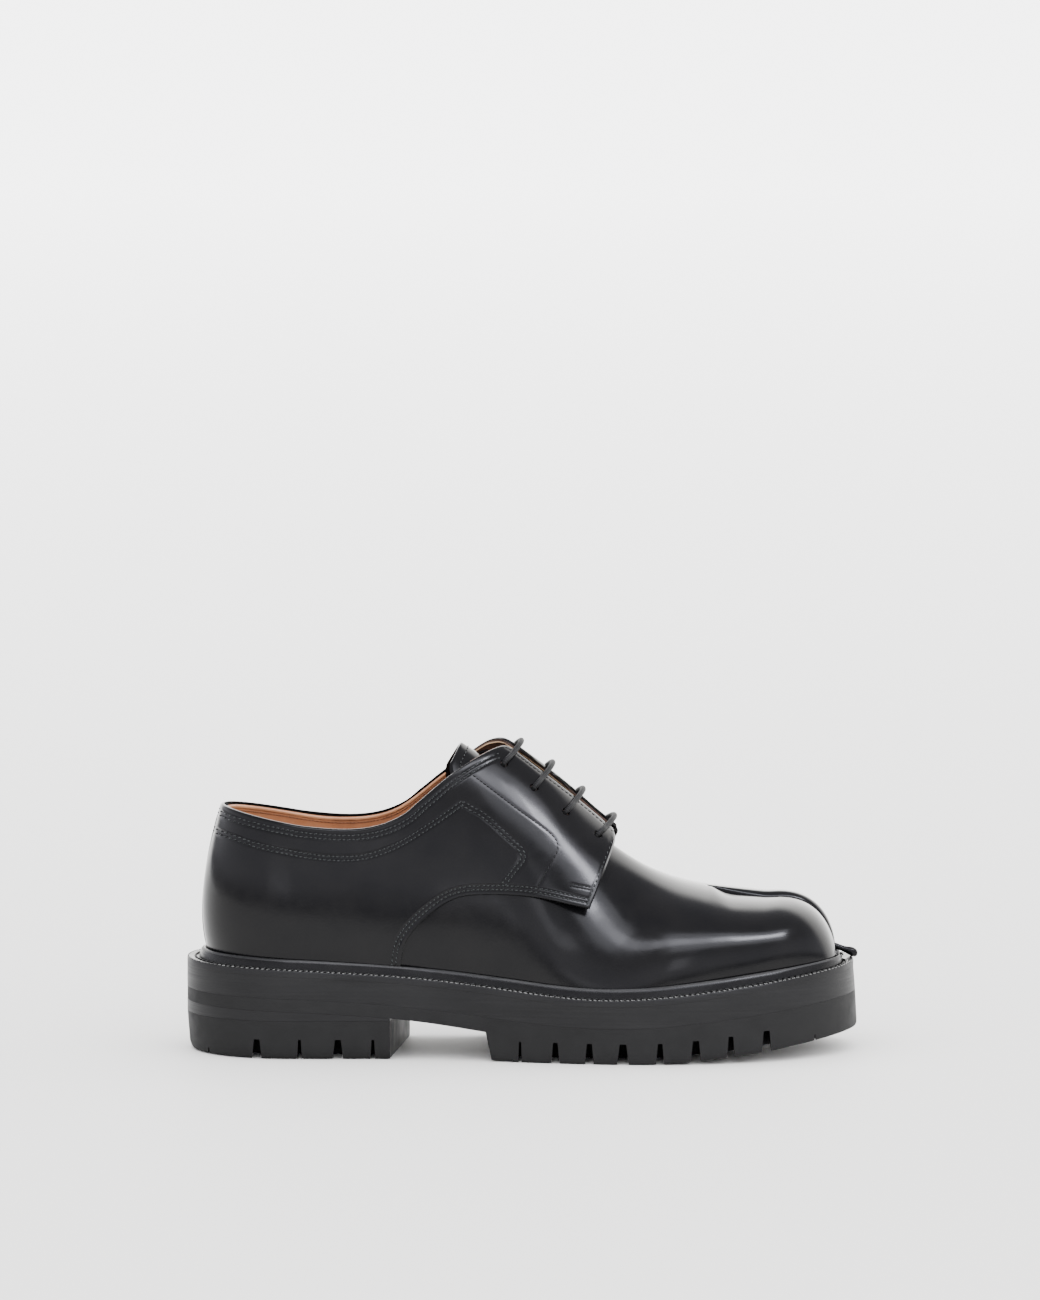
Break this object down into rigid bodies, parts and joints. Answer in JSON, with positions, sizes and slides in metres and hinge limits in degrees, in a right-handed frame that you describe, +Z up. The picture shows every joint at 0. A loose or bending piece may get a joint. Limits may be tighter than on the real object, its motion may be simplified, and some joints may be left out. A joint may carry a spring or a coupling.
{
  "type": "split-toe lace-up shoe",
  "caption": "Black leather split-toe derby shoe for the right foot, with facings laced in straight bars, a storm welt and a thick lugged rubber sole.",
  "frame": {"origin": "on the floor under the middle of the shoe's bounding box", "axes": "+X to the toe, +Y to the inner (medial) side, +Z up"},
  "size_m": [0.3, 0.114, 0.1372],
  "materials": {
    "leather": "polished",
    "welt": "satin",
    "midsole": "satin, brushed",
    "rubber": "matte",
    "lace": "waxed",
    "insole": "natural"
  },
  "bodies": {
    "root": {"cleft_welt": "welt", "heel_lift": "midsole", "heel_top_piece": "rubber", "insole": "insole", "lace_bar_1": "lace", "lace_bar_2": "lace", "lace_bar_3": "lace", "lace_bar_4": "lace", "midsole": "midsole", "outsole": "rubber", "quarter_lateral": "leather", "quarter_medial": "leather", "tongue": "leather", "upper": "leather", "welt": "welt"}
  },
  "joints": []
}
